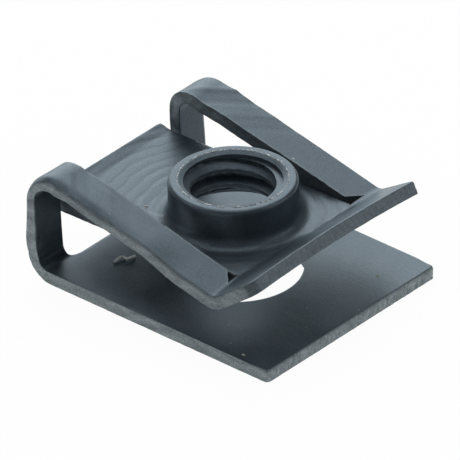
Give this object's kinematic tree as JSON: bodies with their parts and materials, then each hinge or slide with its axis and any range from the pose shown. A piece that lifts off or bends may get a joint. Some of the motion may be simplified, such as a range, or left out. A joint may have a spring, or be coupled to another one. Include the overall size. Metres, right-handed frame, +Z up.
{
  "type": "u clip nut",
  "caption": "Folded spring-steel U clip nut with a drawn, tapped collar, a flat leaf below, sprung arms and a turned-up lead-in lip.",
  "frame": {"origin": "on the screw axis, at the underside of the flat leaf", "axes": "+X from the folded rear to the open front, +Y across the clip, +Z up from the leaf to the collar"},
  "size_m": [0.0189, 0.015, 0.0071],
  "materials": {
    "phosphated_spring_steel": "satin blue-black phosphate and oil finish on hardened spring steel, with greyer sheared edges"
  },
  "bodies": {
    "root": {"u_clip_nut": "phosphated_spring_steel"}
  },
  "joints": []
}
